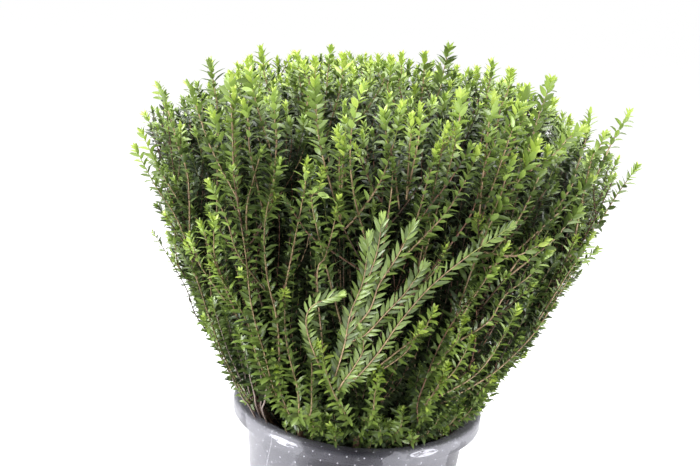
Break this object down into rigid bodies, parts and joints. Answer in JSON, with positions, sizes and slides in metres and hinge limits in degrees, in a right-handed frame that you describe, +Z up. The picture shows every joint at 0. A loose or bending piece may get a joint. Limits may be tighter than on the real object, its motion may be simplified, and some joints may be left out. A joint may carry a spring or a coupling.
{
  "type": "potted common myrtle",
  "caption": "Dense vase-shaped clump of upright, small-leaved evergreen shoots in a dark bucket-shaped pot that stands in a loose sleeve of clear film.",
  "frame": {"origin": "middle of the pot's flat underside", "axes": "+Z up, from the pot's underside to the crown; +X to the right and +Y away from the viewer in the pictured view"},
  "size_m": [0.586, 0.5816, 0.6863],
  "materials": {
    "pot_plastic": "satin",
    "clear_film": "glossy",
    "potting_soil": "matte",
    "bark": "matte",
    "foliage": "satin"
  },
  "bodies": {
    "root": {"pot": "pot_plastic", "clear_sleeve": "clear_film", "potting_soil": "potting_soil", "bough_middle": "bark", "bough_inner_1": "bark", "bough_inner_2": "bark", "bough_inner_3": "bark", "bough_inner_4": "bark", "bough_inner_5": "bark", "bough_inner_6": "bark", "bough_outer_1": "bark", "bough_outer_2": "bark", "bough_outer_3": "bark", "bough_outer_4": "bark", "bough_outer_5": "bark", "bough_outer_6": "bark", "bough_outer_7": "bark", "bough_outer_8": "bark", "bough_outer_9": "bark", "bough_outer_10": "bark", "bough_outer_11": "bark", "bough_outer_12": "bark", "bare_stem_1": "bark", "bare_stem_2": "bark", "bare_stem_3": "bark", "bare_stem_4": "bark", "foliage_middle": "foliage", "foliage_inner_1": "foliage", "foliage_inner_2": "foliage", "foliage_inner_3": "foliage", "foliage_inner_4": "foliage", "foliage_inner_5": "foliage", "foliage_inner_6": "foliage", "foliage_outer_1": "foliage", "foliage_outer_2": "foliage", "foliage_outer_3": "foliage", "foliage_outer_4": "foliage", "foliage_outer_5": "foliage", "foliage_outer_6": "foliage", "foliage_outer_7": "foliage", "foliage_outer_8": "foliage", "foliage_outer_9": "foliage", "foliage_outer_10": "foliage", "foliage_outer_11": "foliage", "foliage_outer_12": "foliage"}
  },
  "joints": []
}
